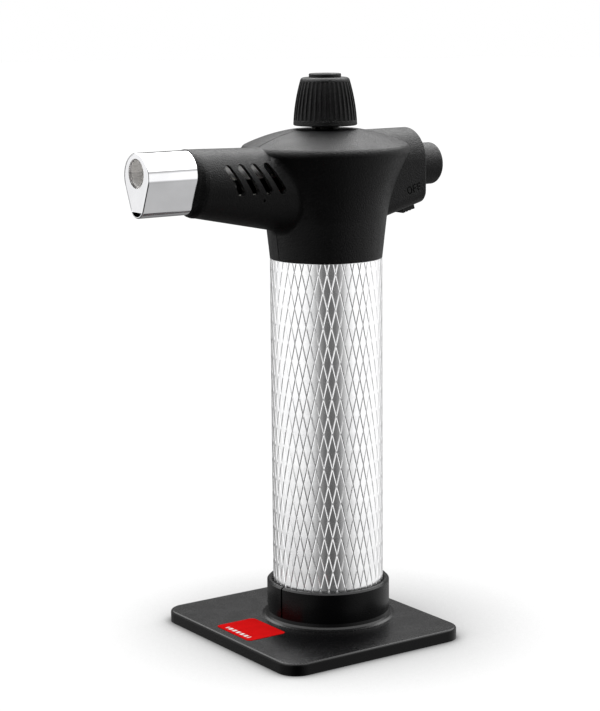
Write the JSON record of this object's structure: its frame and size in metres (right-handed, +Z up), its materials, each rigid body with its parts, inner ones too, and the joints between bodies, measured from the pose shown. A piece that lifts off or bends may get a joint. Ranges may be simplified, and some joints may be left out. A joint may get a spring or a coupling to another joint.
{
  "type": "butane torch",
  "caption": "Upright butane torch with knurled round handle, side burner in a teardrop guard, flame knob, ignition button and a flat collared stand.",
  "frame": {"origin": "point on the floor, on the underside of the stand, where the handle's axis meets it", "axes": "+Z up along the handle, -X the way the flame leaves, +X towards the ignition button, +Y the screw side of the head"},
  "size_m": [0.1118, 0.075, 0.1797],
  "materials": {
    "stand_black": "fine grained moulding",
    "label_red": "printed vinyl, satin",
    "sleeve_aluminium": "bright, knurled",
    "body_black": "satin, fine grained moulding",
    "tank_nylon": "natural nylon",
    "seal_rubber": "nitrile",
    "brass": "turned",
    "spring_steel": "drawn wire",
    "wick_white": "plain",
    "hose_rubber": "smooth",
    "burner_steel": "drawn stainless",
    "flame_holder": "fired, porous",
    "guard_chrome": "polished",
    "ceramic_white": "glazed",
    "screw_steel": "zinc plated",
    "piezo_plastic": "plain",
    "wire_red": "silicone insulation",
    "lever_plastic": "acetal"
  },
  "bodies": {
    "stand": {"stand_base": "stand_black", "stand_label": "label_red"},
    "torch": {"handle_sleeve": "sleeve_aluminium", "base_cap": "body_black", "fuel_tank": "tank_nylon", "tank_lid": "tank_nylon", "tank_seal": "seal_rubber", "fill_valve_body": "brass", "fill_seal": "seal_rubber", "fill_spring": "spring_steel", "pickup_tube": "wick_white", "gas_valve_body": "brass", "valve_spring": "spring_steel", "gas_hose": "hose_rubber", "regulator_block": "brass", "needle_packing": "seal_rubber", "gas_jet": "brass", "burner_tube": "burner_steel", "burner_cup": "burner_steel", "flame_holder": "flame_holder", "flame_guard": "guard_chrome", "face_plate": "guard_chrome", "guard_bulkhead": "burner_steel", "electrode_insulator": "ceramic_white", "electrode": "spring_steel", "housing_left": "body_black", "housing_right": "body_black", "housing_screws": "screw_steel", "button_spring": "spring_steel", "piezo_body": "piezo_plastic", "ignition_wire": "wire_red", "lever_pin": "screw_steel"},
    "button": {"igniter_button": "body_black", "piezo_plunger": "wick_white"},
    "gas_lever": {"gas_lever": "lever_plastic"},
    "valve_stem": {"valve_stem": "brass", "valve_seal": "seal_rubber"},
    "fill_stem": {"fill_stem": "brass"},
    "needle": {"flow_needle": "spring_steel"},
    "knob": {"knob": "body_black", "knob_cap": "body_black", "knob_spindle": "body_black"},
    "lock": {"lock_slider": "body_black"}
  },
  "joints": [
    {"name": "torch_lift", "type": "slide", "parent": "stand", "child": "torch", "axis": [0, 0, 1], "range_m": [0, 0.03]},
    {"name": "button_press", "type": "slide", "parent": "torch", "child": "button", "axis": [-1, 0, 0], "range_m": [0, 0.005], "stiffness_N_per_m": 2500, "springref_m": -0.001, "deforming": ["button_spring"]},
    {"name": "lever_rock", "type": "hinge", "parent": "torch", "child": "gas_lever", "pos_m": [-0.0135, 0, 0.1313], "axis": [0, 1, 0], "range_deg": [0, 4.3]},
    {"name": "valve_press", "type": "slide", "parent": "torch", "child": "valve_stem", "axis": [0, 0, -1], "range_m": [0, 0.00101], "stiffness_N_per_m": 400, "springref_m": -0.0005, "deforming": ["valve_spring"]},
    {"name": "fill_press", "type": "slide", "parent": "torch", "child": "fill_stem", "axis": [0, 0, 1], "range_m": [0, 0.0012], "stiffness_N_per_m": 600, "springref_m": -0.0005, "deforming": ["fill_spring"]},
    {"name": "knob_turn", "type": "hinge", "parent": "torch", "child": "knob", "pos_m": [0, 0, 0.17], "axis": [0, 0, 1], "range_deg": [-160, 160]},
    {"name": "needle_lift", "type": "slide", "parent": "torch", "child": "needle", "axis": [0, 0, 1], "range_m": [-0.00025, 0.00025]},
    {"name": "lock_slide", "type": "slide", "parent": "torch", "child": "lock", "axis": [-0.9673, 0, -0.2534], "range_m": [0, 0.0035]}
  ],
  "couplings": [
    {"joint": "lever_rock", "follows": "button_press", "rad_per_m": 14.815},
    {"joint": "valve_press", "follows": "button_press", "ratio": 0.2},
    {"joint": "needle_lift", "follows": "knob_turn", "m_per_rad": 0.00007958}
  ]
}
